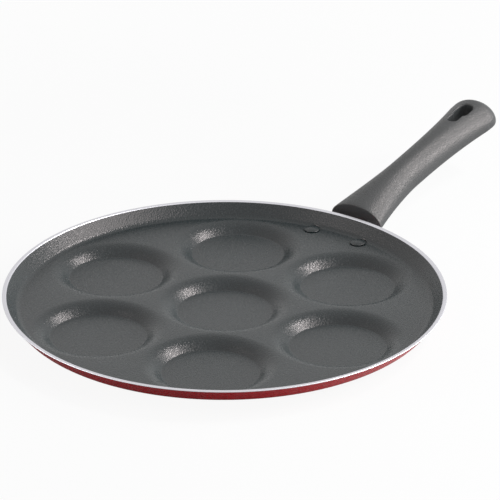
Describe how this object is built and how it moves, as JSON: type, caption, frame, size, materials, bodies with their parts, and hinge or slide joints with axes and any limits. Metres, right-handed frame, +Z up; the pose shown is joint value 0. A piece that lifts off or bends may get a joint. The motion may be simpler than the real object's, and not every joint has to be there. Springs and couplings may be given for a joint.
{
  "type": "uttapam tawa",
  "caption": "Shallow round non-stick pan with flat-floored round cavities, a low sloping wall and a riveted, screwed-on moulded handle with a keyhole hanging hole.",
  "frame": {"origin": "centre of the plane the pan rests on, on the underside of the middle cavity's floor", "axes": "+Z up out of the pan, +X along the handle away from the pan, +Y to the left of the handle"},
  "size_m": [0.446, 0.28, 0.047],
  "materials": {
    "coated_aluminium": "pressed sheet, dark speckled non-stick coating inside, red enamel outside, bare trimmed rim",
    "coated_rivet": "coated like the pan's inside",
    "plated_steel": "pressed and zinc plated",
    "phenolic": "moulded, soft sheen",
    "brass": "turned"
  },
  "bodies": {
    "root": {"pan_body": "coated_aluminium", "rivet_left": "coated_rivet", "rivet_right": "coated_rivet", "handle_bracket": "plated_steel", "handle_grip": "phenolic", "grip_insert": "brass", "handle_screw": "plated_steel", "screw_washer": "plated_steel"}
  },
  "joints": []
}
